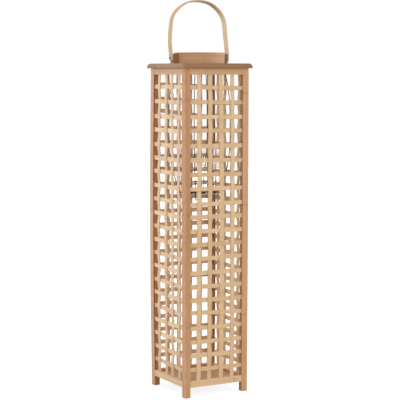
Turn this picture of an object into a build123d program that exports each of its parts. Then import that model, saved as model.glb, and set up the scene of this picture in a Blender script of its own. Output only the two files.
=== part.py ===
from build123d import *
import os

# Tall square candle lantern of split bamboo: four posts joined by rails, four woven
# slat panels, a floor board, an overhanging top board with a bent hoop as its mouth,
# a bail handle on two lugs, and a hanging wire cradle that carries a glass cylinder.
# Millimetres. The origin is at the middle of the footprint, +Z up, and the bail
# swings about an axis along X.

# ---------------------------------------------------------------- driving dimensions
case_width = 201.6            # over the posts, both ways
post_size = 18.0
post_edge_radius = 2.0
foot_chamfer = 1.2
post_height = 905.0           # feet to the underside of the top board
foot_height = 28.0            # clear height below the bottom rails
rail_height = 17.5
rail_thickness = 14.0
rail_setback = 1.5            # outer face of a rail behind the posts' outer faces
rail_edge_radius = 1.0
tenon_length = 5.0
tenon_thickness = 6.0
tenon_shoulder = 3.0          # rail height left above and below the tenon
joint_clearance = 0.1         # all round a tenon, a dowel or a board in its groove

panel_setback = 4.8           # middle of a woven panel behind the posts' outer faces
slat_thickness = 2.0
cross_slat_width = 12.0
upright_slat_width = 13.0
cross_slat_count = 21         # in each panel
upright_slat_count = 4        # in each panel
cross_slat_top_gap = 34.5     # middle of the first cross slat to the top rail
cross_slat_bottom_gap = 30.0
upright_slat_side_gap = 28.0  # middle of the first upright to the post
weave_clearance = 0.08        # between two slats where they cross
flat_margin = 1.0             # flat length of a slat beyond the one that it crosses
slat_groove_depth = 4.0
slat_groove_clearance = 0.4   # each side of a slat in its groove

floor_thickness = 6.0
floor_groove_depth = 4.0
floor_drop = 6.0              # top of the floor board below the top of the bottom rails

board_overhang = 8.2          # past the posts
board_thickness = 13.3
board_round_over = 9.0        # rounding of its upper edge
board_corner_radius = 3.0
mouth_margin = 5.5            # of the mouth round the glass
dowel_diameter = 6.0
dowel_in_board = 7.0
dowel_in_post = 14.0

hoop_ledge = 2.1              # of the top board inside the hoop
hoop_thickness = 2.9
hoop_height = 30.0
hoop_rim_radius = 0.8

handle_width = 17.0
handle_thickness = 4.0
handle_end = 9.5              # leg below the pivot
handle_edge_radius = 0.8
pivot_height = 15.0           # above the top board
arch_height = 68.0            # straight part of the legs above the pivot
lug_length = 16.4             # from the hoop outwards
lug_height = 27.0
lug_gap = 0.3                 # between a lug and the handle leg
pin_diameter = 3.6
pin_head_diameter = 6.4
pin_head_thickness = 1.8
pin_depth = 12.0              # of the pin in its lug
pin_running_clearance = 0.05
pin_seat_clearance = 0.02
pin_head_gap = 0.15           # between the head and the handle leg

wire_diameter = 2.4
weld_gap = 0.05               # between two wires that are spot welded
hoop_ring_gap = 0.2           # between the cradle's top ring and the hoop
cradle_turn = 6.0             # degrees, legs past the diagonals of the case
cradle_depth = 365.5          # lowest wire, below the top board's underside
cradle_neck_drop = 2.0        # where the legs leave the mouth, below the top board
cradle_shoulder_drop = 87.0   # where they reach the belly
cradle_belly = 25.6           # legs further out at the belly than beside the glass
cradle_hip_height = 31.5      # above the lowest wire, where the legs straighten
cradle_taper_height = 96.0    # from there up to the belly
cradle_corner_radius = 8.0
cradle_bend_radii = [20.0, 250.0, 220.0, 70.0]
glass_support_height = 16.5   # base ring above the cross wires

glass_diameter = 120.0
glass_height = 125.0
glass_wall = 3.0
glass_base = 6.0
glass_rim_radius = 1.2
glass_foot_radius = 0.6
glass_side_gap = 0.4          # between the glass and a leg of the cradle
glass_seat_gap = 0.3          # between the glass and the base ring

# ---------------------------------------------------------------- derived places
half_case = case_width / 2
post_centre = half_case - post_size / 2
clear_half = half_case - post_size            # half the opening between two posts
rail_centre = half_case - rail_setback - rail_thickness / 2
panel_centre = half_case - panel_setback
rail_length = 2 * clear_half
bottom_rail_z = foot_height + rail_height / 2
top_rail_z = post_height - rail_height / 2
panel_bottom = foot_height + rail_height
panel_top = post_height - rail_height
panel_middle = (panel_bottom + panel_top) / 2
cross_slat_low = panel_bottom + cross_slat_bottom_gap
cross_slat_high = panel_top - cross_slat_top_gap
cross_slat_middle = (cross_slat_low + cross_slat_high) / 2
cross_slat_pitch = (cross_slat_high - cross_slat_low) / (cross_slat_count - 1)
upright_slat_pitch = 2 * (clear_half - upright_slat_side_gap) / (upright_slat_count - 1)
board_top = post_height + board_thickness
board_half = half_case + board_overhang
pivot_z = board_top + pivot_height
glass_radius = glass_diameter / 2
wire_radius = wire_diameter / 2
mouth_radius = glass_radius + mouth_margin
hoop_inner_radius = mouth_radius + hoop_ledge
hoop_outer_radius = hoop_inner_radius + hoop_thickness
lug_end = hoop_outer_radius + lug_length      # lugs, pins and handle lie along X
leg_inner_face = lug_end + lug_gap
handle_reach = leg_inner_face + handle_thickness
sides = {"front": 0.0, "right": 90.0, "back": 180.0, "left": 270.0}
corners = {"front_left": 0.0, "front_right": 90.0, "back_right": 180.0, "back_left": 270.0}


def turned(shape, angle):
    """The shape turned about the lantern's upright axis."""
    return Rot(0, 0, angle) * shape


# ---------------------------------------------------------------- posts
def make_post():
    """Front left post, with stub mortises for two pairs of rails and two slat grooves."""
    corner = Location((-post_centre, -post_centre))
    with BuildPart() as post:
        with BuildSketch():
            with Locations(corner):
                Rectangle(post_size, post_size)
        extrude(amount=post_height)
        fillet(post.edges().filter_by(Axis.Z), post_edge_radius)
        chamfer(post.faces().sort_by(Axis.Z)[0].edges(), foot_chamfer)
        mortise_depth = tenon_length + joint_clearance
        mortise_thickness = tenon_thickness + 2 * joint_clearance
        mortise_height = rail_height - 2 * tenon_shoulder + 2 * joint_clearance
        groove = slat_thickness + 2 * slat_groove_clearance
        for z in (bottom_rail_z, top_rail_z):
            with Locations((-clear_half - mortise_depth / 2, -rail_centre, z)):
                Box(mortise_depth, mortise_thickness, mortise_height, mode=Mode.SUBTRACT)
            with Locations((-rail_centre, -clear_half - mortise_depth / 2, z)):
                Box(mortise_thickness, mortise_depth, mortise_height, mode=Mode.SUBTRACT)
        groove_length = panel_top - panel_bottom
        with Locations((-clear_half - slat_groove_depth / 2, -panel_centre, panel_middle)):
            Box(slat_groove_depth, groove, groove_length, mode=Mode.SUBTRACT)
        with Locations((-panel_centre, -clear_half - slat_groove_depth / 2, panel_middle)):
            Box(groove, slat_groove_depth, groove_length, mode=Mode.SUBTRACT)
        with Locations((-post_centre, -post_centre, post_height)):
            Cylinder(
                dowel_diameter / 2 + joint_clearance,
                2 * (dowel_in_post + joint_clearance),
                mode=Mode.SUBTRACT,
            )
    return post.part


# ---------------------------------------------------------------- rails
def make_rail(z_centre, slat_side, floor_groove):
    """Front rail with a stub tenon at each end and a groove for the upright slats.

    slat_side is +1 where the slats stand on the rail and -1 where they hang from it.
    """
    groove_width = slat_thickness + 2 * slat_groove_clearance
    tenon_height = rail_height - 2 * tenon_shoulder
    groove_place = (0, rail_centre - panel_centre, slat_side * (rail_height - slat_groove_depth) / 2)
    with BuildPart() as rail:
        Box(rail_length, rail_thickness, rail_height)
        fillet(rail.edges().filter_by(Axis.X), rail_edge_radius)
        Box(rail_length + 2 * tenon_length, tenon_thickness, tenon_height)
        with Locations(groove_place):
            Box(rail_length, groove_width, slat_groove_depth, mode=Mode.SUBTRACT)
        if floor_groove:
            groove_z = rail_height / 2 - floor_drop - floor_thickness / 2
            with Locations((0, (rail_thickness - floor_groove_depth) / 2, groove_z)):
                Box(
                    rail_length,
                    floor_groove_depth,
                    floor_thickness + 2 * joint_clearance,
                    mode=Mode.SUBTRACT,
                )
    return Pos(0, -rail_centre, z_centre) * rail.part


# ---------------------------------------------------------------- woven slats
def wave_points(crossings, first_side, flat, half_length, offset):
    """Middle line of a woven slat: along it, and out of the panel's plane."""
    points = [(-half_length, 0.0)]
    side = first_side
    for place in crossings:
        points.append((place - flat / 2, side * offset))
        points.append((place + flat / 2, side * offset))
        side = -side
    points.append((half_length, 0.0))
    return points


def slat_section(points):
    """Outline of a slat of even thickness on both sides of its middle line."""
    upper = [(along, out + slat_thickness / 2) for along, out in points]
    lower = [(along, out - slat_thickness / 2) for along, out in reversed(points)]
    return make_face(Polyline(*upper, *lower, close=True))


def spread(count, pitch):
    """Centres of count slats at an even pitch about zero."""
    return [(index - (count - 1) / 2) * pitch for index in range(count)]


weave_offset = (slat_thickness + weave_clearance) / 2
upright_places = spread(upright_slat_count, upright_slat_pitch)
cross_places = spread(cross_slat_count, cross_slat_pitch)


def make_cross_slats():
    """Front panel's cross slats, each over and under the uprights in turn."""
    half_length = clear_half + slat_groove_depth - joint_clearance
    flat = upright_slat_width + 2 * flat_margin
    slats = []
    for row, height in enumerate(cross_places):
        side = 1 if row % 2 == 0 else -1
        section = slat_section(wave_points(upright_places, side, flat, half_length, weave_offset))
        slat = extrude(section, amount=cross_slat_width / 2, both=True)
        slats.append(Pos(0, -panel_centre, cross_slat_middle + height) * slat)
    return slats


def make_upright_slats():
    """Front panel's upright slats, each on the other side of every cross slat."""
    half_length = (panel_top - panel_bottom) / 2 + slat_groove_depth - joint_clearance
    flat = cross_slat_width + 2 * flat_margin
    crossings = [cross_slat_middle - panel_middle + height for height in cross_places]
    slats = []
    for column, place in enumerate(upright_places):
        side = -1 if column % 2 == 0 else 1
        section = slat_section(wave_points(crossings, side, flat, half_length, weave_offset))
        slat = extrude(section, amount=upright_slat_width / 2, both=True)
        standing = Rot(0, -90, 0) * slat
        slats.append(Pos(place, -panel_centre, panel_middle) * standing)
    return slats


# ---------------------------------------------------------------- boards
def make_floor_board():
    """Board in the grooves of the bottom rails, notched round the posts."""
    half = rail_centre - rail_thickness / 2 + floor_groove_depth - joint_clearance
    notch = half - clear_half + joint_clearance
    middle_z = panel_bottom - floor_drop - floor_thickness / 2
    with BuildPart() as board:
        with Locations((0, 0, middle_z)):
            Box(2 * half, 2 * half, floor_thickness)
        with GridLocations(2 * half - notch, 2 * half - notch, 2, 2):
            with Locations((0, 0, middle_z)):
                Box(notch, notch, floor_thickness, mode=Mode.SUBTRACT)
    return board.part


def make_top_board():
    """Overhanging top board with a rounded upper edge, the mouth and dowel holes."""
    with BuildPart() as board:
        with BuildSketch(Plane.XY.offset(post_height)):
            RectangleRounded(2 * board_half, 2 * board_half, board_corner_radius)
        extrude(amount=board_thickness)
        fillet(board.faces().sort_by(Axis.Z)[-1].edges(), board_round_over)
        with Locations((0, 0, post_height + board_thickness / 2)):
            Cylinder(mouth_radius, 2 * board_thickness, mode=Mode.SUBTRACT)
        with Locations((0, 0, post_height)):
            with GridLocations(2 * post_centre, 2 * post_centre, 2, 2):
                Cylinder(
                    dowel_diameter / 2 + joint_clearance,
                    2 * (dowel_in_board + joint_clearance),
                    mode=Mode.SUBTRACT,
                )
    return board.part


def make_dowels():
    """Four wooden dowels that hold the top board on the posts."""
    length = dowel_in_board + dowel_in_post
    middle_z = post_height + (dowel_in_board - dowel_in_post) / 2
    dowel = Cylinder(dowel_diameter / 2, length)
    places = GridLocations(2 * post_centre, 2 * post_centre, 2, 2)
    return [Pos(0, 0, middle_z) * place * dowel for place in places]


# ---------------------------------------------------------------- hoop, lugs and handle
def make_hoop():
    """Bent hoop that stands on the top board round the mouth."""
    with BuildPart() as hoop:
        with Locations((0, 0, board_top + hoop_height / 2)):
            Cylinder(hoop_outer_radius, hoop_height)
            Cylinder(hoop_inner_radius, hoop_height, mode=Mode.SUBTRACT)
        fillet(hoop.faces().sort_by(Axis.Z)[-1].edges(), hoop_rim_radius)
    return hoop.part


def make_lug():
    """Right lug: a block hollowed to the hoop, bored for the pivot pin."""
    inner_end = hoop_inner_radius
    with BuildPart() as lug:
        with Locations(((inner_end + lug_end) / 2, 0, board_top + lug_height / 2)):
            Box(lug_end - inner_end, handle_width, lug_height)
        fillet(lug.edges().filter_by(Axis.Z).group_by(Axis.X)[-1], handle_edge_radius)
        with Locations((0, 0, board_top + lug_height / 2)):
            Cylinder(hoop_outer_radius + joint_clearance, 2 * lug_height, mode=Mode.SUBTRACT)
        with Locations(Location((lug_end, 0, pivot_z), (0, 90, 0))):
            Cylinder(
                pin_diameter / 2 + pin_seat_clearance,
                2 * (pin_depth + joint_clearance),
                mode=Mode.SUBTRACT,
            )
    return lug.part


def make_pin():
    """Right pivot pin, with a domed head outside the handle leg."""
    head_face = handle_reach + pin_head_gap
    shank = head_face - (lug_end - pin_depth)
    with BuildPart() as pin:
        Cylinder(pin_diameter / 2, shank, align=(Align.CENTER, Align.CENTER, Align.MAX))
        Cylinder(
            pin_head_diameter / 2,
            pin_head_thickness,
            align=(Align.CENTER, Align.CENTER, Align.MIN),
        )
        fillet(pin.faces().sort_by(Axis.Z)[-1].edges(), 0.7 * pin_head_thickness)
    return Pos(head_face, 0, pivot_z) * Rot(0, 90, 0) * pin.part


def make_handle():
    """Flat strip bent into an arch, its two legs rounded and bored for the pins."""
    arch_z = pivot_z + arch_height
    end_z = pivot_z - handle_end
    inner = leg_inner_face
    outer = handle_reach
    with BuildPart() as handle:
        with BuildSketch(Plane.XZ):
            with BuildLine():
                arch = CenterArc((0, arch_z), outer, 0, 180)
                Line(arch @ 1, (-outer, end_z))
                Line((-outer, end_z), (-inner, end_z))
                Line((-inner, end_z), (-inner, arch_z))
                CenterArc((0, arch_z), inner, 0, 180)
                Line((inner, arch_z), (inner, end_z))
                Line((inner, end_z), (outer, end_z))
                Line((outer, end_z), arch @ 0)
            make_face()
        extrude(amount=handle_width / 2, both=True)
        ends = handle.edges().filter_by(Axis.X).group_by(Axis.Z)[0]
        fillet(ends, handle_width / 2 - handle_edge_radius)
        with Locations(Location((0, 0, pivot_z), (0, 90, 0))):
            Cylinder(
                pin_diameter / 2 + pin_running_clearance,
                3 * handle_reach,
                mode=Mode.SUBTRACT,
            )
    return handle.part


# ---------------------------------------------------------------- wire cradle
ring_radius = hoop_inner_radius - hoop_ring_gap - wire_radius
leg_top_radius = ring_radius - wire_diameter - weld_gap
leg_low_radius = glass_radius + glass_side_gap + wire_radius
base_ring_radius = leg_low_radius - wire_diameter - weld_gap
cradle_low_z = post_height - cradle_depth + wire_radius
base_ring_z = cradle_low_z + glass_support_height
top_ring_z = board_top + wire_radius + weld_gap


def make_wire(lift, angle):
    """One bent wire: down beside the glass, across below it and up the other side."""
    belly_radius = leg_low_radius + cradle_belly
    hip_z = cradle_low_z + cradle_hip_height
    half_path = [
        (leg_top_radius, top_ring_z + wire_radius),
        (leg_top_radius, post_height - cradle_neck_drop),
        (belly_radius, post_height - cradle_shoulder_drop),
        (belly_radius, hip_z + cradle_taper_height),
        (leg_low_radius, hip_z),
        (leg_low_radius, cradle_low_z + lift),
    ]
    radii = cradle_bend_radii + [cradle_corner_radius]
    mirrored = [(-radius, z) for radius, z in reversed(half_path)]
    with BuildPart() as wire:
        with BuildLine(Plane.XZ) as path:
            FilletPolyline(*half_path, *mirrored, radius=radii + radii[::-1])
        with BuildSketch(Plane(path.line @ 0, z_dir=path.line % 0)):
            Circle(wire_radius)
        sweep()
    return turned(wire.part, 45 + cradle_turn + angle)


def make_ring(radius, height):
    """Closed ring of the same wire."""
    with BuildPart() as ring:
        with BuildSketch(Plane.XZ):
            with Locations((radius, height)):
                Circle(wire_radius)
        revolve(axis=Axis.Z)
    return ring.part


# ---------------------------------------------------------------- glass
def make_glass():
    """Open glass cylinder with a thick base and a rounded rim."""
    base_z = base_ring_z + wire_radius + glass_seat_gap
    with BuildPart() as glass:
        with Locations((0, 0, base_z + glass_height / 2)):
            Cylinder(glass_radius, glass_height)
        with Locations((0, 0, base_z + glass_base + glass_height / 2)):
            Cylinder(glass_radius - glass_wall, glass_height, mode=Mode.SUBTRACT)
        fillet(glass.faces().sort_by(Axis.Z)[-1].edges(), glass_rim_radius)
        fillet(glass.faces().sort_by(Axis.Z)[0].edges(), glass_foot_radius)
    return glass.part


# ---------------------------------------------------------------- writing the parts
def save(node, solids):
    """One STEP file for the node, holding one solid or a group of like solids."""
    shape = Compound(children=solids) if isinstance(solids, list) else solids
    export_step(shape, os.path.join("parts", node + ".step"))


os.makedirs("parts", exist_ok=True)

post = make_post()
for corner_name, corner_angle in corners.items():
    save("post_" + corner_name, turned(post, corner_angle))

bottom_rail = make_rail(bottom_rail_z, 1, True)
top_rail = make_rail(top_rail_z, -1, False)
cross_slats = make_cross_slats()
upright_slats = make_upright_slats()
for side_name, side_angle in sides.items():
    save("bottom_rail_" + side_name, turned(bottom_rail, side_angle))
    save("top_rail_" + side_name, turned(top_rail, side_angle))
    save("cross_slats_" + side_name, [turned(slat, side_angle) for slat in cross_slats])
    save("upright_slats_" + side_name, [turned(slat, side_angle) for slat in upright_slats])

save("floor_board", make_floor_board())
save("top_board", make_top_board())
save("board_dowels", make_dowels())
save("collar_hoop", make_hoop())
save("handle_lug_right", make_lug())
save("handle_lug_left", turned(make_lug(), 180))
save("pivot_pin_right", make_pin())
save("pivot_pin_left", turned(make_pin(), 180))
save("bail_handle", make_handle())
save("cradle_top_ring", make_ring(ring_radius, top_ring_z))
save("cradle_wire_lower", make_wire(0.0, 0.0))
save("cradle_wire_upper", make_wire(wire_diameter + weld_gap, 90.0))
save("cradle_base_ring", make_ring(base_ring_radius, base_ring_z))
save("glass_cylinder", make_glass())
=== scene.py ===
import math
import random

import bmesh
import bpy
from mathutils import Matrix, Vector


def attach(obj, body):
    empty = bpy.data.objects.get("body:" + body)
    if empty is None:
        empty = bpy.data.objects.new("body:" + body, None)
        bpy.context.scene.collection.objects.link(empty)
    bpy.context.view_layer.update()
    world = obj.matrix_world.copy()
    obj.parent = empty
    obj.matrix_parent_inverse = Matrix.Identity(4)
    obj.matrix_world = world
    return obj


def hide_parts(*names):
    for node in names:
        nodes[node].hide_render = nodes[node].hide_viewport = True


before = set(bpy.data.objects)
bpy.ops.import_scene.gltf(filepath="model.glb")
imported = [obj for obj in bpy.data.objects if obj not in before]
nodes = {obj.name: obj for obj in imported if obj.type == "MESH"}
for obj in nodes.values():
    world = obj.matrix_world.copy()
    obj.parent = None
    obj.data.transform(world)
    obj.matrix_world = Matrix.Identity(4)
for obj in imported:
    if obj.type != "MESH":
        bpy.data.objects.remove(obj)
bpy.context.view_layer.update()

scene = bpy.context.scene
mm = 0.001

# ------------------------------ viewpoint
# The camera stands in front of the lantern and to its left, level with the upper part
# of the case. Its long lens keeps the posts almost parallel.
camera_place = (-1.82571, -3.29536, 0.88890)
camera_dip = 5.347            # degrees below level
camera_turn = 29.018          # degrees to the right of straight ahead
camera_lens = 121.07


def put(name, data):
    """A new object in the scene."""
    made = bpy.data.objects.new(name, data)
    scene.collection.objects.link(made)
    return made


camera = put("viewpoint", bpy.data.cameras.new("viewpoint"))
scene.camera = camera
camera.location = camera_place
camera.rotation_euler = (math.radians(90 - camera_dip), 0, math.radians(-camera_turn))
camera.data.sensor_fit = "HORIZONTAL"
camera.data.sensor_width = 36
camera.data.lens = camera_lens
camera.data.clip_end = 60
scene.view_settings.view_transform = "Standard"


# ------------------------------ floor and light
# A white floor in an evenly lit white room, with a large soft lamp ahead of the lantern on
# the left and a weaker one on the right. What is seen directly is plain white. Reflections
# also meet a brighter wall, behind the lantern on the left, and the floor that it lights.
fill_light = 0.78
floor_radius = 9.0
floor_steps = 64
floor_white = 0.34
floor_glow = 0.84
bright_wall = Vector((-0.485, 0.875, 0.0))   # the way to its middle
wall_edge, wall_full = 0.6, 0.95             # cosines off that way
wall_gain = 1.75
near_wall_from, near_wall_full = 0.1, 0.9    # metres that way, on the floor
near_wall_gain = 1.1
lamp_size = 2.8
lamp_aim = Vector((0, 0, 0.55))
lamps = {
    "left_lamp": (Vector((-3.8, -3.5, 1.2)), 120),
    "right_lamp": (Vector((4.2, -2.6, 1.4)), 63),
}


def add(tree, kind, inputs=None, **settings):
    """Adds a shader node; each input is a plain value, or a node or socket that feeds it."""
    node = tree.nodes.new("ShaderNode" + kind)
    for name, value in settings.items():
        setattr(node, name, value)
    for name, value in (inputs or {}).items():
        if isinstance(value, bpy.types.Node):
            value = value.outputs[0]
        if isinstance(value, bpy.types.NodeSocket):
            tree.links.new(value, node.inputs[name])
        else:
            node.inputs[name].default_value = value
    return node


def maths(tree, operation, *values, clamp=False):
    """A Math node on one, two or three values."""
    return add(tree, "Math", dict(enumerate(values)), operation=operation, use_clamp=clamp)


def seen_directly(tree):
    """1 for what the eye, a reflection or the view through glass meets, and otherwise 0."""
    path = add(tree, "LightPath")
    mirrored = maths(tree, "MAXIMUM", path.outputs["Is Camera Ray"], path.outputs["Is Glossy Ray"])
    return maths(tree, "MAXIMUM", mirrored, path.outputs["Is Transmission Ray"])


world = bpy.data.worlds.new("white_room")
scene.world = world
world.use_nodes = True
tree = world.node_tree
tree.nodes.clear()
strength = add(tree, "MapRange", {"Value": seen_directly(tree), "To Min": fill_light, "To Max": 1.0})
towards = add(tree, "VectorMath", {0: add(tree, "TexCoord").outputs["Generated"], 1: bright_wall},
              operation="DOT_PRODUCT").outputs["Value"]
wall = add(tree, "MapRange", {"Value": towards, "From Min": wall_edge, "From Max": wall_full,
                              "To Max": wall_gain}, interpolation_type="SMOOTHSTEP")
glossy = add(tree, "LightPath").outputs["Is Glossy Ray"]
strength = maths(tree, "MULTIPLY_ADD", wall, glossy, strength)
room = add(tree, "Background", {"Color": (1, 1, 1, 1), "Strength": strength})
add(tree, "OutputWorld", {"Surface": room})


def blank_material(name):
    """A new material without nodes, and its node tree."""
    material = bpy.data.materials.new(name)
    material.use_nodes = True
    material.node_tree.nodes.clear()
    return material, material.node_tree


def circle(radius, height, steps):
    """Points round the middle at that height."""
    turned = [math.tau * k / steps for k in range(steps)]
    return [Vector((radius * math.cos(angle), radius * math.sin(angle), height)) for angle in turned]


floor_material, tree = blank_material("white_floor")
lit = add(tree, "BsdfDiffuse", {"Color": (floor_white, floor_white, floor_white, 1)})
towards = add(tree, "VectorMath", {0: add(tree, "NewGeometry").outputs["Position"], 1: bright_wall},
              operation="DOT_PRODUCT").outputs["Value"]
near_wall = add(tree, "MapRange", {"Value": towards, "From Min": near_wall_from, "From Max": near_wall_full,
                                   "To Max": near_wall_gain})
white = maths(tree, "MULTIPLY", seen_directly(tree), floor_glow)
glossy = add(tree, "LightPath").outputs["Is Glossy Ray"]
glow = add(tree, "Emission", {"Color": (1, 1, 1, 1),
                              "Strength": maths(tree, "MULTIPLY_ADD", near_wall, glossy, white)})
add(tree, "OutputMaterial", {"Surface": add(tree, "AddShader", {0: lit, 1: glow})})

floor_mesh = bpy.data.meshes.new("floor")
floor_mesh.from_pydata(circle(floor_radius, 0.0, floor_steps), [], [tuple(range(floor_steps))])
floor_mesh.materials.append(floor_material)
put("floor", floor_mesh)

for name, (place, power) in lamps.items():
    lamp = put(name, bpy.data.lights.new(name, "AREA"))
    lamp.data.size = lamp_size
    lamp.data.energy = power
    lamp.location = place
    lamp.rotation_euler = (lamp_aim - place).to_track_quat("-Z", "Y").to_euler()


# ------------------------------ posts
# Four square posts of oiled bamboo, each cut from one laminated bar, eased along its edges
# and grooved down two sides for the slats. The two back ones bowed as they dried, and the
# front right one leans in at its foot.
post_size = 18 * mm
post_height = 905 * mm
post_steps = 28
post_centre = 91.8 * mm
panel_centre = 96 * mm        # middle of a woven panel
post_rounding = 2 * mm
foot_chamfer = 1.2 * mm
foot_middle = 20 * mm
groove_width = 2.8 * mm
groove_depth = 4 * mm
panel_bottom = 45.5 * mm
panel_top = 887.5 * mm
post_bow = 3.9 * mm           # of the back left post, to the left
post_lean = 2.2 * mm          # of the front right post's foot, to the left
lean_height = 620 * mm        # above which it stands straight
lean_curve = 1.3
far_post_inward = 2.8 * mm    # both ends of the back right post, to the left
far_post_bow = 3.2 * mm       # and its middle back to the right
turns = {"front": 0, "right": 90, "back": 180, "left": 270}
corners = {"front_left": 0, "front_right": 90, "back_right": 180, "back_left": 270}
post_shades = {"front_left": 0.9, "front_right": 0.05, "back_right": 0.5, "back_left": 0.05}
pale_foot = 0.5               # how much paler the front left post grows down to its foot
merge_distance = 0.000001
draw = random.Random(7)


def bar_outline(width, depth, rounding, inner, notches=None, steps=2, flats=2):
    """Section of a bar, anticlockwise: across, out, how much on an edge, how much inside.

    A notch is (place along its side, width, depth); the sides are 0 to 3 from +across. Its
    cut faces count as inside.
    """
    outline = []
    for side in range(4):
        half_along, half_out = (depth / 2, width / 2) if side % 2 == 0 else (width / 2, depth / 2)
        flat = half_along - rounding
        eased = min(1.5 * rounding, 0.6 * flat)
        run = [(-flat, half_out, 0.6), (flat, half_out, 0.6)]
        if flats == 2 or side % 2 == 1:
            run[1:1] = [(eased - flat, half_out, 0.0), (flat - eased, half_out, 0.0)]
        if notches and side in notches:
            place, gap, deep = notches[side]
            low, high = place - gap / 2, place + gap / 2
            cut = [(low, half_out, 0.0), (low, half_out - deep, 0.0), (high, half_out - deep, 0.0),
                   (high, half_out, 0.0)]
            run = [p for p in run if p[0] < low] + cut + [p for p in run if p[0] > high]
        for step in range(1, steps):
            angle = math.pi / 2 * step / steps
            turned_in = rounding * math.sin(angle), rounding * (math.cos(angle) - 1)
            run.append((flat + turned_in[0], half_out + turned_in[1], 1.0))
        angle = math.pi / 2 * side
        for along, out, edge in run:
            x = out * math.cos(angle) - along * math.sin(angle)
            y = out * math.sin(angle) + along * math.cos(angle)
            cut_in = edge == 0.0 and out < half_out
            outline.append((x, y, edge, 1.0 if cut_in else inner(x, y)))
    return outline


def settle(name, mesh, material, body, slot, *replaced):
    """Puts a mesh in the scene as a piece of the lantern, on its body and for its nodes."""
    mesh.materials.append(material)
    made = put(name, mesh)
    evened = made.modifiers.new("evened_normals", "WEIGHTED_NORMAL")
    evened.mode = "FACE_AREA"
    evened.keep_sharp = True
    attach(made, body)
    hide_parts(*replaced)


class Bars:
    """One mesh of bars, strips or wires, with the grain's own coordinates on every corner."""

    def __init__(self):
        self.points, self.faces, self.grain = [], [], []
        self.marks = {"strip": [], "shade": [], "edge": [], "inner": []}

    def loft(self, outlines, stations, shade=0.0, closed=False):
        """Adds a bar. A station is its centre and the section's across and out axes.

        The shade is a number, or a function of the station's centre.
        """
        if not isinstance(outlines[0], list):
            outlines = [outlines] * len(stations)
        first, ring, count = len(self.points), len(outlines[0]), len(stations)
        strip = draw.random()
        along, around = [0.0], [0.0]
        for (centre, across, out), outline in zip(stations, outlines):
            tone = shade(centre) if callable(shade) else shade
            for x, y, edge, inside in outline:
                self.points.append(centre + across * x + out * y)
                for mark, value in zip(self.marks, (strip, tone, edge, inside)):
                    self.marks[mark].append(value)
        for (one, _, _), (two, _, _) in zip(stations, stations[1:] + stations[:1]):
            along.append(along[-1] + (two - one).length)
        widest = outlines[count // 2]
        for one, two in zip(widest, widest[1:] + widest[:1]):
            around.append(around[-1] + math.hypot(two[0] - one[0], two[1] - one[1]))
        for step in range(count if closed else count - 1):
            low, high = first + step * ring, first + (step + 1) % count * ring
            for k in range(ring):
                turn = (k + 1) % ring
                self.faces.append((low + k, low + turn, high + turn, high + k))
                for u, v in ((k, step), (k + 1, step), (k + 1, step + 1), (k, step + 1)):
                    self.grain.append((around[u], along[v]))
        if not closed:
            for start, outline in ((first, outlines[0]), (first + (count - 1) * ring, outlines[-1])):
                self.faces.append(tuple(range(start, start + ring)))
                self.grain += [(x, y) for x, y, _, _ in outline]

    def piece(self, name, material, body, slot, *replaced, warp=None):
        """Makes the finished piece; warp moves each of its points."""
        mesh = bpy.data.meshes.new(name)
        mesh.from_pydata([warp(p) if warp else p for p in self.points], [], self.faces)
        layer = mesh.uv_layers.new(name="grain")
        layer.data.foreach_set("uv", [value for pair in self.grain for value in pair])
        for mark, values in self.marks.items():
            mesh.attributes.new(mark, "FLOAT", "POINT").data.foreach_set("value", values)
        shape = bmesh.new()
        shape.from_mesh(mesh)
        bmesh.ops.remove_doubles(shape, verts=shape.verts, dist=merge_distance)
        bmesh.ops.dissolve_degenerate(shape, edges=shape.edges, dist=merge_distance)
        bmesh.ops.recalc_face_normals(shape, faces=shape.faces)
        for face in shape.faces:
            face.smooth = len(face.verts) == 4
        shape.to_mesh(mesh)
        shape.free()
        settle(name, mesh, material, body, slot, *replaced)


def bowed(point):
    """Where a point of the case lies, between posts that are bowed or lean."""
    right, back = 0.5 + point.x / (2 * post_centre), 0.5 + point.y / (2 * post_centre)
    bow = post_bow * math.sin(math.pi * min(max(point.z / post_height, 0), 1))
    lean = post_lean * max(1 - point.z / lean_height, 0) ** lean_curve
    inward = far_post_inward - bow * far_post_bow / post_bow
    shift = bow * (1 - right) * back + lean * right * (1 - back) + inward * right * back
    return Vector((point.x - shift, point.y, point.z))


def make_group(name, inputs, outputs):
    """A node group with those sockets: its tree, what it is given and what it makes."""
    group = bpy.data.node_groups.new(name, "ShaderNodeTree")
    for socket, kind, *value in inputs:
        made = group.interface.new_socket(socket, in_out="INPUT", socket_type="NodeSocket" + kind)
        if value:
            made.default_value = value[0]
    for socket, kind in outputs:
        group.interface.new_socket(socket, in_out="OUTPUT", socket_type="NodeSocket" + kind)
    return group, group.nodes.new("NodeGroupInput").outputs, group.nodes.new("NodeGroupOutput").inputs


def tint(code):
    """Linear colour of a code such as C79D77."""
    parts = [int(code[k:k + 2], 16) / 255 for k in (0, 2, 4)]
    linear = [p / 12.92 if p <= 0.04045 else ((p + 0.055) / 1.055) ** 2.4 for p in parts]
    return (*linear, 1.0)


def blended(tree, factor, one, two):
    """Colour one mixed with colour two; gives the socket."""
    return add(tree, "Mix", {0: factor, 6: one, 7: two}, data_type="RGBA").outputs[2]


def streaky(tree, grain, across, along, detail=2.0):
    """Noise drawn out along the fibres, at so many waves a metre each way."""
    stretched = add(tree, "VectorMath", {0: grain, 1: (across, along, across)}, operation="MULTIPLY")
    return add(tree, "TexNoise", {"Vector": stretched, "Scale": 1.0, "Detail": detail})


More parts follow.
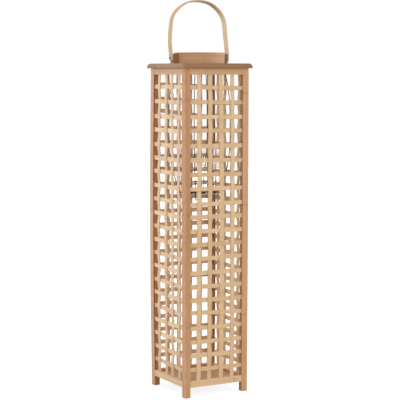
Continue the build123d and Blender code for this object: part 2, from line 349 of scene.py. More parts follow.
# The fibres of split cane: fine lines, short dark vessels and broad soft streaks.
fibre_group, given, made = make_group(
    "cane_fibre",
    [("Grain", "Vector"), ("Colour", "Color"), ("Fibre Colour", "Color"), ("Contrast", "Float", 0.5)],
    [("Colour", "Color"), ("Height", "Float")],
)
fine = streaky(fibre_group, given["Grain"], 900, 14, 3.0)
vessels = streaky(fibre_group, given["Grain"], 2400, 70, 1.0)
broad = streaky(fibre_group, given["Grain"], 130, 2.6, 2.0)
slow = streaky(fibre_group, given["Grain"], 14, 5, 2.0)
marks = maths(fibre_group, "MULTIPLY_ADD", fine, 0.55, maths(fibre_group, "MULTIPLY", broad, 0.75))
marks = maths(fibre_group, "MULTIPLY_ADD", slow, 0.7, marks)
marks = maths(fibre_group, "SUBTRACT", marks, 0.62)
vessel = add(fibre_group, "MapRange", {"Value": vessels, "From Min": 0.60, "From Max": 0.74,
                                       "To Max": 0.35})
marks = maths(fibre_group, "ADD", maths(fibre_group, "MULTIPLY", marks, given["Contrast"]),
              maths(fibre_group, "MULTIPLY", vessel, given["Contrast"]), clamp=True)
fibre_group.links.new(blended(fibre_group, marks, given["Colour"], given["Fibre Colour"]), made["Colour"])
fibre_group.links.new(maths(fibre_group, "SUBTRACT", fine, vessel).outputs[0], made["Height"])

# The knuckles of the cane: a thin raised ring at even spaces, a little darker above it.
knuckle_group, given, made = make_group(
    "cane_knuckle",
    [("Grain", "Vector"), ("Strip", "Float", 0.0), ("Spacing", "Float", 0.26)],
    [("Ring", "Float"), ("Stain", "Float")],
)
parts = add(knuckle_group, "SeparateXYZ", {0: given["Grain"]})
wobble = streaky(knuckle_group, given["Grain"], 70, 4, 1.0)
place = maths(knuckle_group, "MULTIPLY_ADD", given["Strip"], 3.7, parts.outputs["Y"])
place = maths(knuckle_group, "MULTIPLY_ADD", wobble, 0.004, place)
cell = maths(knuckle_group, "FRACT", maths(knuckle_group, "DIVIDE", place, given["Spacing"]))
away = maths(knuckle_group, "SUBTRACT", cell, 0.5)
away = maths(knuckle_group, "MULTIPLY", away, given["Spacing"])
ring = add(knuckle_group, "MapRange", {"Value": maths(knuckle_group, "ABSOLUTE", away), "From Max": 0.0016,
                                       "To Min": 1.0, "To Max": 0.0}, interpolation_type="SMOOTHSTEP")
above = maths(knuckle_group, "ABSOLUTE", maths(knuckle_group, "SUBTRACT", away, 0.004))
stain = add(knuckle_group, "MapRange", {"Value": above, "From Max": 0.007, "To Min": 1.0, "To Max": 0.0},
            interpolation_type="SMOOTHSTEP")
knuckle_group.links.new(ring.outputs[0], made["Ring"])
knuckle_group.links.new(stain.outputs[0], made["Stain"])

# Edges unevenly paler or darker than the face: paler where rubbed by hands and by the weaving, and where
# darker, painted shade along the edges of the slats and handle.
edge_group, given, made = make_group(
    "rubbed_and_shaded_edge",
    [("Grain", "Vector"), ("Colour", "Color"), ("Edge Colour", "Color"), ("Edge", "Float", 0.0),
     ("Amount", "Float", 0.5)],
    [("Colour", "Color"), ("Wear And Shade", "Float")],
)
patchy = add(edge_group, "MapRange", {"Value": streaky(edge_group, given["Grain"], 260, 40, 3.0),
                                      "From Min": 0.35, "From Max": 0.62})
wear_and_shade = maths(edge_group, "MULTIPLY", maths(edge_group, "MULTIPLY", patchy, given["Edge"]), given["Amount"])
edge_group.links.new(blended(edge_group, wear_and_shade, given["Colour"], given["Edge Colour"]), made["Colour"])
edge_group.links.new(wear_and_shade.outputs[0], made["Wear And Shade"])


def placed(tree, group, inputs):
    """A node that holds the group, with its inputs fed or set."""
    return add(tree, "Group", inputs, node_tree=group)


def mark(tree, name):
    """A value that the mesh carries: strip, shade, edge or inner."""
    return add(tree, "Attribute", attribute_name=name).outputs["Fac"]


def grain_of(tree, fibres_along=None):
    """Place in the grain, from the mesh's own map or, for a solid block, from its space."""
    if fibres_along is None:
        spread = add(tree, "SeparateXYZ", {0: add(tree, "UVMap", uv_map="grain")})
        depth = maths(tree, "MULTIPLY", mark(tree, "strip"), 5.3)
        return add(tree, "CombineXYZ", {0: spread.outputs[0], 1: spread.outputs[1], 2: depth}).outputs[0]
    spread = add(tree, "SeparateXYZ", {0: add(tree, "TexCoord").outputs["Object"]})
    order = {"X": (1, 0, 2), "Y": (0, 1, 2), "Z": (0, 2, 1)}[fibres_along]
    return add(tree, "CombineXYZ", {k: spread.outputs[axis] for k, axis in enumerate(order)}).outputs[0]


def bamboo(name, pale, warm, fibre, inner, contrast=0.5, spacing=0.26, roughness=0.40, shine=0.5,
           edge_tint=None, edge_amount=0.5, fibres_along=None):
    """Oiled bamboo: pale to warm by the piece's shade, and the inner colour on the faces marked inside: the
    pith side of split cane, and on posts and rails painted shade on their faces inside the case.
    """
    material, tree = blank_material(name)
    grain = grain_of(tree, fibres_along)
    skin = blended(tree, mark(tree, "shade"), pale, warm)
    face = blended(tree, mark(tree, "inner"), skin, inner)
    fibres = placed(tree, fibre_group, {"Grain": grain, "Colour": face, "Fibre Colour": fibre,
                                        "Contrast": contrast})
    knuckle = placed(tree, knuckle_group, {"Grain": grain, "Strip": mark(tree, "strip"), "Spacing": spacing})
    darker = maths(tree, "MULTIPLY", knuckle.outputs["Stain"], 0.22)
    darker = maths(tree, "MULTIPLY_ADD", knuckle.outputs["Ring"], 0.30, darker)
    coloured = blended(tree, darker, fibres.outputs["Colour"], fibre)
    edges = placed(tree, edge_group, {"Grain": grain, "Colour": coloured, "Edge Colour": edge_tint or fibre,
                                      "Edge": mark(tree, "edge"), "Amount": edge_amount})
    gloss = add(tree, "MapRange", {"Value": fibres.outputs["Height"], "To Min": roughness + 0.08,
                                   "To Max": roughness - 0.04})
    relief = maths(tree, "MULTIPLY_ADD", knuckle.outputs["Ring"], 2.0, fibres.outputs["Height"])
    bump = add(tree, "Bump", {"Height": relief, "Strength": 0.35, "Distance": 0.0002})
    body = add(tree, "BsdfPrincipled", {"Base Color": edges.outputs["Colour"], "Roughness": gloss,
                                        "Normal": bump, "Specular IOR Level": shine})
    add(tree, "OutputMaterial", {"Surface": body})
    return material


post_finish = bamboo("post_bamboo", tint("D2A880"), tint("C28C62"), tint("935E36"), tint("A9734A"),
                     contrast=0.55, spacing=0.31, shine=0.28, edge_tint=tint("E0BC97"), edge_amount=0.45)


def post_outline(deep):
    """The front left post's section, with its two slat grooves this deep."""
    outward = panel_centre - post_centre
    notches = {0: (-outward, groove_width, deep), 1: (outward, groove_width, deep)}
    # The faces towards the inside of the case, and the groove faces, take the darker inner colour: painted
    # shade inside the case.
    return bar_outline(post_size, post_size, post_rounding,
                       lambda x, y: float(max(x, y) > 0.49 * post_size), notches=notches, steps=4)


def shrunk(outline, share):
    """The same outline, smaller by that share about its middle."""
    return [(x * share, y * share, edge, inner) for x, y, edge, inner in outline]


for corner, angle in corners.items():
    spin = Matrix.Rotation(math.radians(angle), 3, "Z")
    plain, grooved = post_outline(0.0), post_outline(groove_depth)
    tapered = shrunk(plain, 1 - 2 * foot_chamfer / post_size)
    rises = [(0.0, tapered), (foot_chamfer, plain), (foot_middle, plain), (panel_bottom, plain)]
    rises += [(panel_bottom + (panel_top - panel_bottom) * k / post_steps, grooved)
              for k in range(post_steps + 1)]
    rises += [(panel_top, plain), (post_height, plain)]
    across, out = spin @ Vector((1, 0, 0)), spin @ Vector((0, 1, 0))
    line = [(spin @ Vector((-post_centre, -post_centre, z)), across, out) for z, _ in rises]
    post = Bars()
    tone, middle = post_shades[corner], panel_top / 2
    fading = pale_foot if corner == "front_left" else 0.0
    post.loft([outline for _, outline in rises], line,
              shade=lambda at: tone - fading * max(1 - at.z / middle, 0))
    post.piece("corner_post_" + corner, post_finish, "case", "post_bamboo", "post_" + corner, warp=bowed)


# ------------------------------ rails
# Four rails join the posts at the bottom and four at the top. They are of a paler cane
# than the posts, glued between them, with a groove that takes the ends of the uprights.
rail_height = 17.5 * mm
rail_thickness = 14 * mm
rail_rounding = 1 * mm
rail_centre = 92.3 * mm
clear_half = 82.8 * mm
rail_steps = 12
floor_groove = (-0.25 * mm, 6.2 * mm, 4 * mm)   # place up the inner face, width, depth
# The top rails take a darker tone: painted shade under the top board's overhang.
rail_tones_with_overhang_shade = {"bottom": 0.15, "top": 0.8}
rail_finish = bamboo("rail_bamboo", tint("EBCCA0"), tint("C49468"), tint("A87443"), tint("D2A67A"),
                     contrast=0.5, spacing=0.23, shine=0.35, edge_tint=tint("E6CBA6"), edge_amount=0.4)


def panel_frame(side):
    """How the front panel is turned to that side, and its along, out and up directions."""
    spin = Matrix.Rotation(math.radians(turns[side]), 3, "Z")
    return spin, spin @ Vector((1, 0, 0)), spin @ Vector((0, -1, 0)), Vector((0, 0, 1))


for level, middle, slat_side in (("bottom", panel_bottom - rail_height / 2, 0),
                                 ("top", panel_top + rail_height / 2, 2)):
    for side in turns:
        spin, _, out, up = panel_frame(side)
        outward = (panel_centre - rail_centre) * (1 if level == "bottom" else -1)
        notches = {slat_side: (outward, groove_width, groove_depth)}
        if level == "bottom":
            notches[3] = floor_groove
        # Its inner face and the groove faces take the darker inner colour: painted shade inside the case.
        outline = bar_outline(rail_height, rail_thickness, rail_rounding,
                              lambda x, y: float(y < -0.4 * rail_thickness), notches=notches, steps=3)
        line = [(spin @ Vector((clear_half * (2 * k / rail_steps - 1), -rail_centre, middle)), up, out)
                for k in range(rail_steps + 1)]
        rail = Bars()
        rail.loft(outline, line, shade=rail_tones_with_overhang_shade[level] + draw.uniform(-0.15, 0.15))
        rail.piece(f"{level}_cross_rail_{side}", rail_finish, "case", "rail_bamboo", f"{level}_rail_{side}",
                   warp=bowed)


# ------------------------------ woven slats
# Each panel is a plain weave of split cane: 21 cross slats and 4 uprights, every one
# bent over and under the others in turn, with its ends in the grooves of posts and rails.
slat_thickness = 2 * mm
slat_rounding = 0.4 * mm
cross_width = 12 * mm
upright_width = 13 * mm
cross_count = 21
cross_low = 75.5 * mm
cross_high = 853 * mm
upright_pitch = 36.5 * mm
weave_offset = 1.06 * mm      # of a slat off the panel's middle, in or out
crossing_margin = 2 * mm      # by which its flats are longer than the crossed slat is wide
slat_reach = 3.9 * mm         # into the grooves
weave_middle = 450 * mm       # where an upright's place counts for its crossings
weave_sag = 4.5 * mm          # cross slats slid down towards the middle of the case
weave_tilt = 0.75 * mm        # and a little lower at the right end
# How far the ends of each panel's cross slats have slid up, in mm: at the bottom, middle
# and top row, first the left ends and then the right ends, seen from outside.
slides = {
    "front": ((0.5, -0.5, -0.5), (1.5, 0.0, -1.5)),
    "right": ((3.5, -1.5, -3.5), (3.5, -1.5, -3.5)),
    "back": ((6.0, 0.0, -1.0), (10.0, 2.0, 7.0)),
    "left": ((4.0, 1.5, -1.0), (1.5, 1.0, 0.0)),
}
row_scatter = 0.6             # mm, either way, of single rows
# Slats that slipped away from their neighbours, by row from the bottom: both ends, in mm.
slipped = {
    "front": {4: (5, 0), 8: (-1, 3.5), 9: (0, 2), 12: (-5, -1.5), 17: (2, 1)},
    "right": {11: (-4, -4), 19: (-5, -6)},
    "back": {6: (-0.5, 4), 12: (-2, 6), 14: (-2, 7), 18: (-8, 15.5), 19: (-6, 8.5)},
    "left": {5: (5, 2), 7: (4.5, 2), 14: (1.5, 2.5), 16: (-2, -1), 18: (-2.5, -1.5), 20: (0, 2.5)},
}
# Uprights: how far each stands from its even place at the bottom, middle and top, in mm.
upright_shifts = {
    "front": [(-1, 1, 0.5), (-3, -1, -1), (-2.5, 0.5, -5), (-2.5, -2, -4.5)],
    "right": [(-0.5, 2, -4), (1, 3.5, 1), (1, 5.5, 2), (1, 7, 2.5)],
    "back": [(-2, -1, -3.5), (-4.5, -6, -6.5), (-4.5, -6.5, -5), (-5, -7, -5.5)],
    "left": [(-2, -1, 0.5), (3, 3.5, 4), (3, 4, 1), (5.5, 3.5, 3.5)],
}
upright_shades = {"front": 0.0, "right": 0.2, "back": 0.2, "left": 1.0}
upright_widths = {"front": (13, 12.5, 13, 12), "right": (13, 12.5, 13.5, 13),
                  "back": (13, 13, 12.5, 13), "left": (13.5, 13, 13, 11.5)}
slat_finish = bamboo("slat_bamboo", tint("DEBC8D"), tint("C69E6E"), tint("BA8B58"), tint("E8C395"),
                     contrast=0.5, spacing=0.24, roughness=0.38, shine=1.0, edge_tint=tint("B78955"),
                     edge_amount=0.55)


def eased(share):
    """0 to 1, level at both ends."""
    return share * share * share * (share * (6 * share - 15) + 10)


def bent(low, middle, high, share):
    """The parabola through low, middle and high at shares 0, a half and 1."""
    place = 2 * share - 1
    return middle + (high - low) / 2 * place + ((high + low) / 2 - middle) * place * place


class Panel:
    """Where the slats of one woven panel lie, seen from outside: x to the right, z up."""

    def __init__(self, side):
        self.side = side
        self.slips = []
        for row in range(cross_count):
            ends = [bent(*slide, row / (cross_count - 1)) + draw.uniform(-row_scatter, row_scatter)
                    for slide in slides[side]]
            self.slips.append([end * mm for end in slipped[side].get(row, ends)])

    def row_z(self, row, x):
        """Height of a cross slat's middle at x."""
        share = row / (cross_count - 1)
        left, right = self.slips[row]
        level = cross_low + (cross_high - cross_low) * share
        level -= weave_sag * math.sin(math.pi * share ** 1.5)
        across = 0.5 + x / (2 * clear_half)
        return level + (left + weave_tilt) * (1 - across) + (right - weave_tilt) * across

    def upright_x(self, column, z):
        """Place of an upright's middle at that height."""
        share = (z - panel_bottom) / (panel_top - panel_bottom)
        return (column - 1.5) * upright_pitch + bent(*upright_shifts[self.side][column], share) * mm


def woven_line(crossings, side, flat, start, end, runs=5):
    """(along, level) down a strip: level 1 or -1 across each crossing, eased in so many runs."""
    stops = [(start, start, 0.0)]
    for place in crossings:
        stops.append((place - flat / 2, place + flat / 2, side))
        side = -side
    stops.append((end, end, 0.0))
    line = []
    for (low, high, level), (next_low, _, next_level) in zip(stops, stops[1:]):
        line.append((low, level))
        if high > low:
            line += [((low + high) / 2, level), (high, level)]
        for step in range(1, runs):
            share = step / runs
            line.append((high + (next_low - high) * share, level + (next_level - level) * eased(share)))
    return line + [(end, 0.0)]


def on_weave(spin, x, z, level):
    """The point of the turned panel at x and z, on that level of the weave."""
    return spin @ Vector((x, -panel_centre - level * weave_offset, z))


def weave(slats, line, at, across, width, waves, shade, shade_range):
    """Adds a strip, a little uneven in width; at gives its middle's point for (along, level)."""
    start, size = draw.uniform(0, 6), draw.uniform(0.01, 0.03)
    points = [at(along, level) for along, level in line]
    stations = []
    for k, point in enumerate(points):
        ahead = (points[min(k + 1, len(points) - 1)] - points[max(k - 1, 0)]).normalized()
        spread = 1 + size * math.sin(start + waves * line[k][0])
        stations.append((point, across * spread, ahead.cross(across).normalized()))
    outline = bar_outline(width, slat_thickness, slat_rounding, lambda x, y: float(y < 0), steps=2, flats=1)
    slats.loft(outline, stations, shade=draw.uniform(0.0, shade_range) + shade)


for side in turns:
    panel = Panel(side)
    spin, along, out, up = panel_frame(side)
    cross_slats, uprights = Bars(), Bars()
    for row in range(cross_count):
        first = 1 if row % 2 else -1
        crossings = [panel.upright_x(column, panel.row_z(row, 0)) for column in range(4)]
        line = woven_line(crossings, first, upright_width + crossing_margin,
                          -clear_half - slat_reach, clear_half + slat_reach)
        weave(cross_slats, line, lambda x, level: on_weave(spin, x, panel.row_z(row, x), level), up,
              cross_width * draw.uniform(0.95, 1.04), waves=30, shade=0.0, shade_range=0.8)
    for column in range(4):
        first = 1 if column % 2 == 0 else -1
        x_middle = panel.upright_x(column, weave_middle)
        crossings = [panel.row_z(row, x_middle) for row in range(cross_count)]
        line = woven_line(crossings, first, cross_width + crossing_margin,
                          panel_bottom - slat_reach, panel_top + slat_reach, runs=4)
        weave(uprights, line, lambda z, level: on_weave(spin, panel.upright_x(column, z), z, level), -along,
              upright_widths[side][column] * mm, waves=12, shade=upright_shades[side], shade_range=0.5)
    cross_slats.piece("woven_cross_slats_" + side, slat_finish, "case", "slat_bamboo", "cross_slats_" + side,
                      warp=bowed)
    uprights.piece("woven_uprights_" + side, slat_finish, "case", "slat_bamboo", "upright_slats_" + side,
                   warp=bowed)


# ------------------------------ boards
# The floor board slides in the bottom rails, and the top board overhangs the case, with a
# round mouth in it. Both are glued up from planks of darker, steamed bamboo.
plank_width = 24 * mm
plank_group, given, made = make_group(
    "glued_planks",
    [("Across", "Float", 0.0), ("Width", "Float", 0.024), ("Colour", "Color"), ("Other Colour", "Color")],
    [("Colour", "Color"), ("Joint", "Float")],
)
counted = maths(plank_group, "DIVIDE", given["Across"], given["Width"])
number = add(plank_group, "TexWhiteNoise", {"W": maths(plank_group, "FLOOR", counted)}, noise_dimensions="1D")
beside = maths(plank_group, "SUBTRACT", maths(plank_group, "FRACT", counted), 0.5)
beside = maths(plank_group, "ABSOLUTE", beside)
joint = add(plank_group, "MapRange", {"Value": beside, "From Min": 0.488, "From Max": 0.498})
plank_colour = blended(plank_group, number.outputs["Value"], given["Colour"], given["Other Colour"])
plank_group.links.new(plank_colour, made["Colour"])
plank_group.links.new(joint.outputs[0], made["Joint"])


def board(name, pale, warm, fibre, fibres_along, roughness):
    """Planks of steamed bamboo glued side by side, sanded and oiled."""
    material, tree = blank_material(name)
    grain = grain_of(tree, fibres_along)
    across = add(tree, "SeparateXYZ", {0: grain}).outputs["X"]
    planks = placed(tree, plank_group, {"Across": across, "Width": plank_width, "Colour": pale,
                                        "Other Colour": warm})
    fibres = placed(tree, fibre_group, {"Grain": grain, "Colour": planks.outputs["Colour"],
                                        "Fibre Colour": fibre, "Contrast": 0.6})
    seam = maths(tree, "MULTIPLY", planks.outputs["Joint"], 0.5)
    glued = blended(tree, seam, fibres.outputs["Colour"], fibre)
    gloss = add(tree, "MapRange", {"Value": fibres.outputs["Height"], "To Min": roughness + 0.1,
                                   "To Max": roughness - 0.05})
    relief = maths(tree, "SUBTRACT", fibres.outputs["Height"], planks.outputs["Joint"])
    bump = add(tree, "Bump", {"Height": relief, "Strength": 0.35, "Distance": 0.0002})
    body = add(tree, "BsdfPrincipled", {"Base Color": glued, "Roughness": gloss, "Normal": bump,
                                        "Specular IOR Level": 0.2})
    add(tree, "OutputMaterial", {"Surface": body})
    return material


def refinish(material, *names):
    """Gives carried-over parts their finish."""
    for name in names:
        for held in nodes[name].material_slots:
            held.material = material


refinish(board("top_board_bamboo", tint("A27C59"), tint("956E4B"), tint("6E4A2B"), "X", 0.42), "top_board")
refinish(board("floor_board_bamboo", tint("E2BF98"), tint("D6B089"), tint("B08A64"), "X", 0.5), "floor_board")
refinish(bamboo("dowel_bamboo", tint("D6B48C"), tint("C9A077"), tint("A87443"), tint("C9A077"),
                fibres_along="Z"), "board_dowels")


# ------------------------------ hoop
# A split cane strip steamed into a ring and glued where its thinned ends overlap at the
# back. It stands on the top board round the mouth, its rim rounded over.
hoop_inner = 67.6 * mm
hoop_outer = 70.5 * mm
hoop_bottom = 918.3 * mm
hoop_height = 30 * mm
hoop_rounding = 0.8 * mm
hoop_steps = 96
hoop_tone = 0.6
hoop_painted_light = 0.55            # how much paler it is at the right
hoop_finish = bamboo("hoop_bamboo", tint("E8C29C"), tint("9E744E"), tint("85562F"), tint("9E6E43"),
                     contrast=0.85, spacing=0.21, roughness=0.5, shine=0.2, edge_tint=tint("D2A982"),
                     edge_amount=0.5)
hoop = Bars()
hoop_line = []
for k in range(hoop_steps):
    angle = math.tau * (k + 0.5) / hoop_steps + math.pi / 2
    outward = Vector((math.cos(angle), math.sin(angle), 0))
    middle = outward * (hoop_inner + hoop_outer) / 2 + Vector((0, 0, hoop_bottom + hoop_height / 2))
    hoop_line.append((middle, Vector((0, 0, -1)), outward))
hoop_outline = bar_outline(hoop_height, hoop_outer - hoop_inner, hoop_rounding, lambda x, y: float(y < 0),
                           steps=3, flats=1)
# The hoop is painted paler towards its front right: painted light and sheen on that side.
hoop.loft(hoop_outline, hoop_line, closed=True,
          shade=lambda at: hoop_tone - hoop_painted_light * max((at.x - 0.6 * at.y) / hoop_outer, 0) ** 3)
hoop.piece("bent_hoop", hoop_finish, "case", "hoop_bamboo", "collar_hoop")


# ------------------------------ handle lugs
# Two blocks of steamed bamboo glued beside the hoop, to carry the handle. Their front and back faces are
# darker.
front_back_dark = 0.45
lug_finish = bamboo("lug_bamboo", tint("A87A54"), tint("855A3A"), tint("6A4123"), tint("855A3A"),
                    contrast=0.7, spacing=0.5, roughness=0.5, fibres_along="Z")
tree = lug_finish.node_tree
surface = next(node for node in tree.nodes if node.type == "BSDF_PRINCIPLED").inputs["Base Color"]
facing = add(tree, "SeparateXYZ", {0: add(tree, "NewGeometry").outputs["Normal"]}).outputs["Y"]
front_back_darkening = add(tree, "MapRange", {"Value": maths(tree, "ABSOLUTE", facing), "From Min": 0.5, "From Max": 0.8,
                              "To Max": front_back_dark})
tree.links.new(blended(tree, front_back_darkening, surface.links[0].from_socket, tint("6A4123")), surface)
refinish(lug_finish, "handle_lug_right", "handle_lug_left")


# ------------------------------ pivot pins
# Turned steel pins, blued dark, driven into the lugs. The handle swings on them and
# their domed heads keep it on.
pin_finish, tree = blank_material("blued_steel")
space = add(tree, "TexCoord").outputs["Object"]
mottle = add(tree, "TexNoise", {"Vector": space, "Scale": 900.0, "Detail": 4.0})
worn = add(tree, "MapRange", {"Value": mottle, "From Min": 0.52, "From Max": 0.72})
steel = add(tree, "BsdfPrincipled", {
    "Base Color": blended(tree, worn, tint("2A2622"), tint("5A5148")),
    "Roughness": add(tree, "MapRange", {"Value": mottle, "To Min": 0.28, "To Max": 0.5}),
    "Metallic": 1.0,
})
add(tree, "OutputMaterial", {"Surface": steel})
refinish(pin_finish, "pivot_pin_right", "pivot_pin_left")


# ------------------------------ bail handle
# One flat strip of pale cane, steamed and bent by hand, so its two shoulders differ and it
# rolls a little over the top. Its ends are rounded, and the pins hold them.
handle_width = 17 * mm
handle_thickness = 4 * mm
handle_rounding = 0.8 * mm
handle_roll = math.radians(9)   # of the strip over the top, its underside to the front
roll_start, roll_ramp = 0.32, 0.2   # shares of its length: where that begins, and over how much
top_shade_from, top_shade_rise = 1040 * mm, 40 * mm   # above which the strip is painted greyer, as shade on its underside
least_top_shade = 0.1
bend_spacing = 4 * mm
end_steps = 8
leg_steps = 90
least_width = 0.02            # share of its width where its rounded ends close
# The strip's middle line from the left leg over the top to the right leg: x, z in mm.
handle_line = [(-89.2, 923.8), (-89.5, 945.0), (-91.9, 970.0), (-91.6, 1000.0), (-86.8, 1038.0),
               (-78.4, 1056.0), (-62.6, 1072.2), (-35.0, 1087.0), (-0.4, 1090.4), (30.0, 1085.1),
               (53.6, 1071.3), (69.2, 1054.7), (78.8, 1033.3), (83.0, 997.0), (88.0, 955.0),
               (89.2, 940.0), (89.2, 923.8)]
handle_finish = bamboo("handle_bamboo", tint("F5DDBE"), tint("BFA380"), tint("B0895C"), tint("D8B896"),
                       contrast=0.5, spacing=0.9, roughness=0.45, shine=0.06, edge_tint=tint("B58E62"),
                       edge_amount=0.35)


def smooth_line(points, every):
    """Points about that far apart on the smooth curve through the given ones."""
    padded = [2 * points[0] - points[1]] + points + [2 * points[-1] - points[-2]]
    line = []
    for before, one, two, after in zip(padded, padded[1:], padded[2:], padded[3:]):
        parts = max(1, round((two - one).length / every))
        for part in range(parts):
            t = part / parts
            line.append(0.5 * (2 * one + (two - before) * t + (2 * before - 5 * one + 4 * two - after) * t * t
                               + (3 * one - before - 3 * two + after) * t * t * t))
    return line + [points[-1]]


bend = smooth_line([Vector((x * mm, 0, z * mm)) for x, z in handle_line], bend_spacing)
bend_length = [0.0]
for one, two in zip(bend, bend[1:]):
    bend_length.append(bend_length[-1] + (two - one).length)


def on_bend(distance):
    """The point of the bend that far from its start, and the way it runs there."""
    for k in range(len(bend) - 1):
        if bend_length[k + 1] >= distance or k == len(bend) - 2:
            share = (distance - bend_length[k]) / (bend_length[k + 1] - bend_length[k])
            before, after = max(k - 1, 0), min(k + 2, len(bend) - 1)
            return bend[k].lerp(bend[k + 1], share), (bend[after] - bend[before]).normalized()


total, half_width = bend_length[-1], handle_width / 2
distances = [half_width * (1 - math.cos(math.pi / 2 * k / end_steps)) for k in range(end_steps)]
distances += [half_width + (total - 2 * half_width) * k / leg_steps for k in range(leg_steps + 1)]
distances += [total - d for d in reversed(distances[:end_steps])]
handle_stations = []
for distance in distances:
    centre, ahead = on_bend(distance)
    end = min(distance, total - distance, half_width)
    spread = math.sqrt(max(1 - (1 - end / half_width) ** 2, least_width ** 2))
    across, out = Vector((0, 1, 0)), ahead.cross(Vector((0, 1, 0)))
    share = distance / total
    roll = handle_roll * math.sin(math.pi * share) * min(max((share - roll_start) / roll_ramp, 0), 1)
    handle_stations.append((centre, spread * (across * math.cos(roll) - out * math.sin(roll)),
                            out * math.cos(roll) + across * math.sin(roll)))
# The strip is painted greyer towards the top: painted shade on its underside there.
handle = Bars()
handle.loft(bar_outline(handle_width, handle_thickness, handle_rounding, lambda x, y: float(y > 0), steps=3),
            handle_stations, shade=lambda at: min(max((at.z - top_shade_from) / top_shade_rise, least_top_shade), 1))
handle.piece("bent_handle", handle_finish, "handle", "handle_bamboo", "bail_handle")


# ------------------------------ wire cradle
# Two lengths of drawn steel wire bent to a springy U and spot welded, where they cross
# under the glass and to a ring at each end. The top ring hangs on the ledge in the hoop.
wire_radius = 1.2 * mm
wire_spacing = 5 * mm         # of the points along a bent wire
wire_corner = 8 * mm          # radius of the bend from a leg to the wire's bottom
leg_end = 9.5 * mm            # above that bottom
bead_length = 5 * mm
bead_radius = 1.35 * wire_radius
head_radius = 65 * mm         # of the legs' welds to the top ring
cradle_turn = 51              # degrees from the handle's axis to the lower wire
top_ring_radius = 66.2 * mm
top_ring_z = 919.55 * mm
base_ring_radius = 59.15 * mm
base_ring_z = 557.2 * mm
ring_steps = 72
lower_wire_z = 540.7 * mm
upper_wire_z = 543.15 * mm
leg_line = [(63.75, 920.8), (63.9, 910.0), (66.6, 902.0), (73.0, 890.0), (77.4, 872.0), (82.0, 846.0),
            (84.8, 820.0), (86.8, 790.0), (87.2, 740.0), (86.5, 690.0), (82.5, 650.0), (76.4, 620.0),
            (68.8, 596.0), (63.6, 580.0), (61.7, 568.0), (61.6, 556.0)]
# How far each wire's front and back legs were bent aside, in degrees.
leg_turns = {"lower": (0.8, -4.8), "upper": (-0.2, 0.0)}
turn_rise = 120 * mm          # above the base ring, where that is reached
bright_below, dull_above = 546 * mm, 550 * mm   # the wires under the glass are lighter
bright_share = 0.8

wire_finish, tree = blank_material("cradle_wire")
space = add(tree, "TexCoord").outputs["Object"]
dull = add(tree, "TexNoise", {"Vector": space, "Scale": 160.0, "Detail": 5.0})
drawn = blended(tree, dull, tint("66645F"), tint("4C4945"))
height = add(tree, "SeparateXYZ", {0: space}).outputs["Z"]
under = add(tree, "MapRange", {"Value": height, "From Min": bright_below, "From Max": dull_above,
                               "To Min": bright_share, "To Max": 0.0})
bright = blended(tree, maths(tree, "MAXIMUM", mark(tree, "inner"), under), drawn, tint("B4B0A8"))
weld = blended(tree, mark(tree, "shade"), bright, tint("4A443E"))
steel = add(tree, "BsdfPrincipled", {
    "Base Color": weld,
    "Roughness": add(tree, "MapRange", {"Value": dull, "To Min": 0.36, "To Max": 0.56}),
    "Metallic": 0.8,
    "Normal": add(tree, "Bump", {"Height": dull, "Strength": 0.2, "Distance": 0.0001}),
})
add(tree, "OutputMaterial", {"Surface": steel})


def round_outline(radius, sides=12, bright=0.0):
    """Section of a round wire, which may be marked lighter."""
    return [(point.x, point.y, 0.0, bright) for point in circle(radius, 0.0, sides)]


def tube_stations(line, closed=False):
    """Stations along a bent wire, its section kept from twisting."""
    stations = []
    side = None
    for k, point in enumerate(line):
        before = line[k - 1] if closed or k else line[0]
        after = line[(k + 1) % len(line)] if closed or k + 1 < len(line) else line[-1]
        ahead = (after - before).normalized()
        side = ahead.orthogonal() if side is None else side - ahead * side.dot(ahead)
        side.normalize()
        stations.append((point, side.copy(), ahead.cross(side)))
    return stations


def weld_bead(wire, place, axis):
    """A small fused bead along axis."""
    line = [place + axis * bead_length * (k / 6 - 0.5) for k in range(7)]
    swell = [0.25, 0.78, 1.0, 1.06, 0.97, 0.72, 0.22]
    stations = [(point, side * share, out * share)
                for (point, side, out), share in zip(tube_stations(line), swell)]
    wire.loft(round_outline(bead_radius, 10), stations, shade=0.8)


def aside(point, degrees):
    """A point of a leg, turned by that leg's degrees at its top and not at all at its foot."""
    share = min(max((point.z - base_ring_z) / turn_rise, 0), 1)
    front_leg, back_leg = degrees
    turned = math.radians(back_leg if point.x > 0 else front_leg) * share * share * (3 - 2 * share)
    return Matrix.Rotation(turned, 3, "Z") @ point


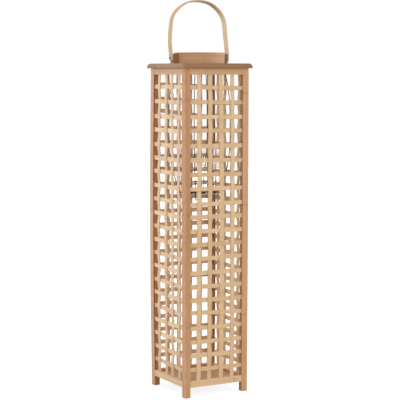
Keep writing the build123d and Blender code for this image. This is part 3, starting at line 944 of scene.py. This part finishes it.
for name, angle, cross_z in (("lower", cradle_turn, lower_wire_z), ("upper", cradle_turn + 90, upper_wire_z)):
    spin = Matrix.Rotation(math.radians(angle), 3, "Z")
    leg = [Vector((r * mm, 0, z * mm)) for r, z in leg_line]
    reach = leg[-1].x - wire_corner
    leg.append(Vector((leg[-1].x, 0, cross_z + leg_end)))
    leg += [Vector((reach + wire_corner * math.sin(a), 0, cross_z + wire_corner - wire_corner * math.cos(a)))
            for a in map(math.radians, (80, 60, 40, 20))]
    leg += [Vector((x, 0, cross_z)) for x in (reach, reach - 10 * mm, 20 * mm)]
    other = [Vector((-p.x, 0, p.z)) for p in reversed(leg)]
    line = [aside(p, leg_turns[name]) for p in smooth_line(leg + other, wire_spacing)]
    wire = Bars()
    wire.loft(round_outline(wire_radius), [(spin @ p, spin @ s, spin @ o) for p, s, o in tube_stations(line)])
    for end in (1, -1):
        foot = spin @ Vector((end * (base_ring_radius + wire_radius), 0, base_ring_z))
        weld_bead(wire, foot, spin @ Vector((0, 1, 0)))
        head = spin @ aside(Vector((end * head_radius, 0, top_ring_z)), leg_turns[name])
        weld_bead(wire, head, Vector((0, 0, 1)))
    if name == "upper":
        weld_bead(wire, Vector((0, 0, (lower_wire_z + upper_wire_z) / 2)), Vector((1, 0, 0)))
    wire.piece("bent_wire_" + name, wire_finish, "case", "cradle_wire", "cradle_wire_" + name)

for name, radius, height in (("top", top_ring_radius, top_ring_z), ("base", base_ring_radius, base_ring_z)):
    stations = tube_stations(circle(radius, height, ring_steps), closed=True)
    ring = Bars()
    ring.loft(round_outline(wire_radius, bright=float(name == "base")), stations, closed=True)
    ring.piece(f"{name}_wire_ring", wire_finish, "case", "cradle_wire", f"cradle_{name}_ring")


# ------------------------------ glass
# A blown glass cylinder, open at the top, with a fire-polished rim and a thick base that
# looks green through its edge. It stands loose on the cradle's base ring.
glass_bottom = 558.7 * mm
glass_steps = 96
green_below, clear_above = 5.5 * mm, 8 * mm   # heights in the glass
green_from, green_full = 50 * mm, 56 * mm     # distances from its axis
# Its section from the middle of the underside round the rim to the floor: out, up, in mm.
glass_profile = [(0.0, 0.9), (30.0, 0.8), (50.0, 0.45), (55.0, 0.1), (57.6, 0.0), (58.9, 0.25), (59.7, 0.9),
                 (60.0, 2.0), (60.0, 8.0), (60.0, 40.0), (60.0, 80.0), (60.0, 122.0), (59.9, 123.7),
                 (59.4, 124.6), (58.5, 125.0), (57.6, 124.7), (57.1, 123.8), (57.0, 122.0), (57.0, 80.0),
                 (57.0, 40.0), (57.0, 11.0), (56.7, 8.6), (55.6, 6.9), (53.6, 6.1), (50.0, 5.95), (30.0, 5.9),
                 (0.0, 5.9)]

glass_finish, tree = blank_material("clear_glass")
space = add(tree, "TexCoord").outputs["Object"]
place = add(tree, "SeparateXYZ", {0: space}).outputs
in_base = add(tree, "MapRange", {"Value": place["Z"], "From Min": glass_bottom + green_below,
                                 "From Max": glass_bottom + clear_above, "To Min": 1.0, "To Max": 0.0})
from_axis = maths(tree, "SQRT", maths(tree, "MULTIPLY_ADD", place["X"], place["X"],
                                      maths(tree, "MULTIPLY", place["Y"], place["Y"])))
at_edge = add(tree, "MapRange", {"Value": from_axis, "From Min": green_from, "From Max": green_full})
thick = maths(tree, "MULTIPLY", in_base, at_edge)
ripple = add(tree, "TexNoise", {"Vector": space, "Scale": 14.0, "Detail": 1.0})
clear = add(tree, "BsdfPrincipled", {
    "Base Color": blended(tree, thick, (0.925, 0.905, 0.87, 1), tint("5A5838")),
    "Roughness": 0.02,
    "IOR": 1.5,
    "Transmission Weight": 1.0,
    "Normal": add(tree, "Bump", {"Height": ripple, "Strength": 0.04, "Distance": 0.002}),
})
add(tree, "OutputMaterial", {"Surface": clear})

glass_mesh = bpy.data.meshes.new("glass")
rings = glass_profile[1:-1]
points = [Vector((0, 0, glass_bottom + glass_profile[0][1] * mm))]
for radius, rise in rings:
    points += circle(radius * mm, glass_bottom + rise * mm, glass_steps)
points.append(Vector((0, 0, glass_bottom + glass_profile[-1][1] * mm)))
faces = []
for k in range(glass_steps):
    beyond = (k + 1) % glass_steps
    faces.append((0, 1 + beyond, 1 + k))
    for low in range(1, 1 + (len(rings) - 1) * glass_steps, glass_steps):
        high = low + glass_steps
        faces.append((low + k, low + beyond, high + beyond, high + k))
    faces.append((high + k, high + beyond, len(points) - 1))
glass_mesh.from_pydata(points, [], faces)
glass_mesh.shade_smooth()
settle("glass_chimney", glass_mesh, glass_finish, "glass", "clear_glass", "glass_cylinder")
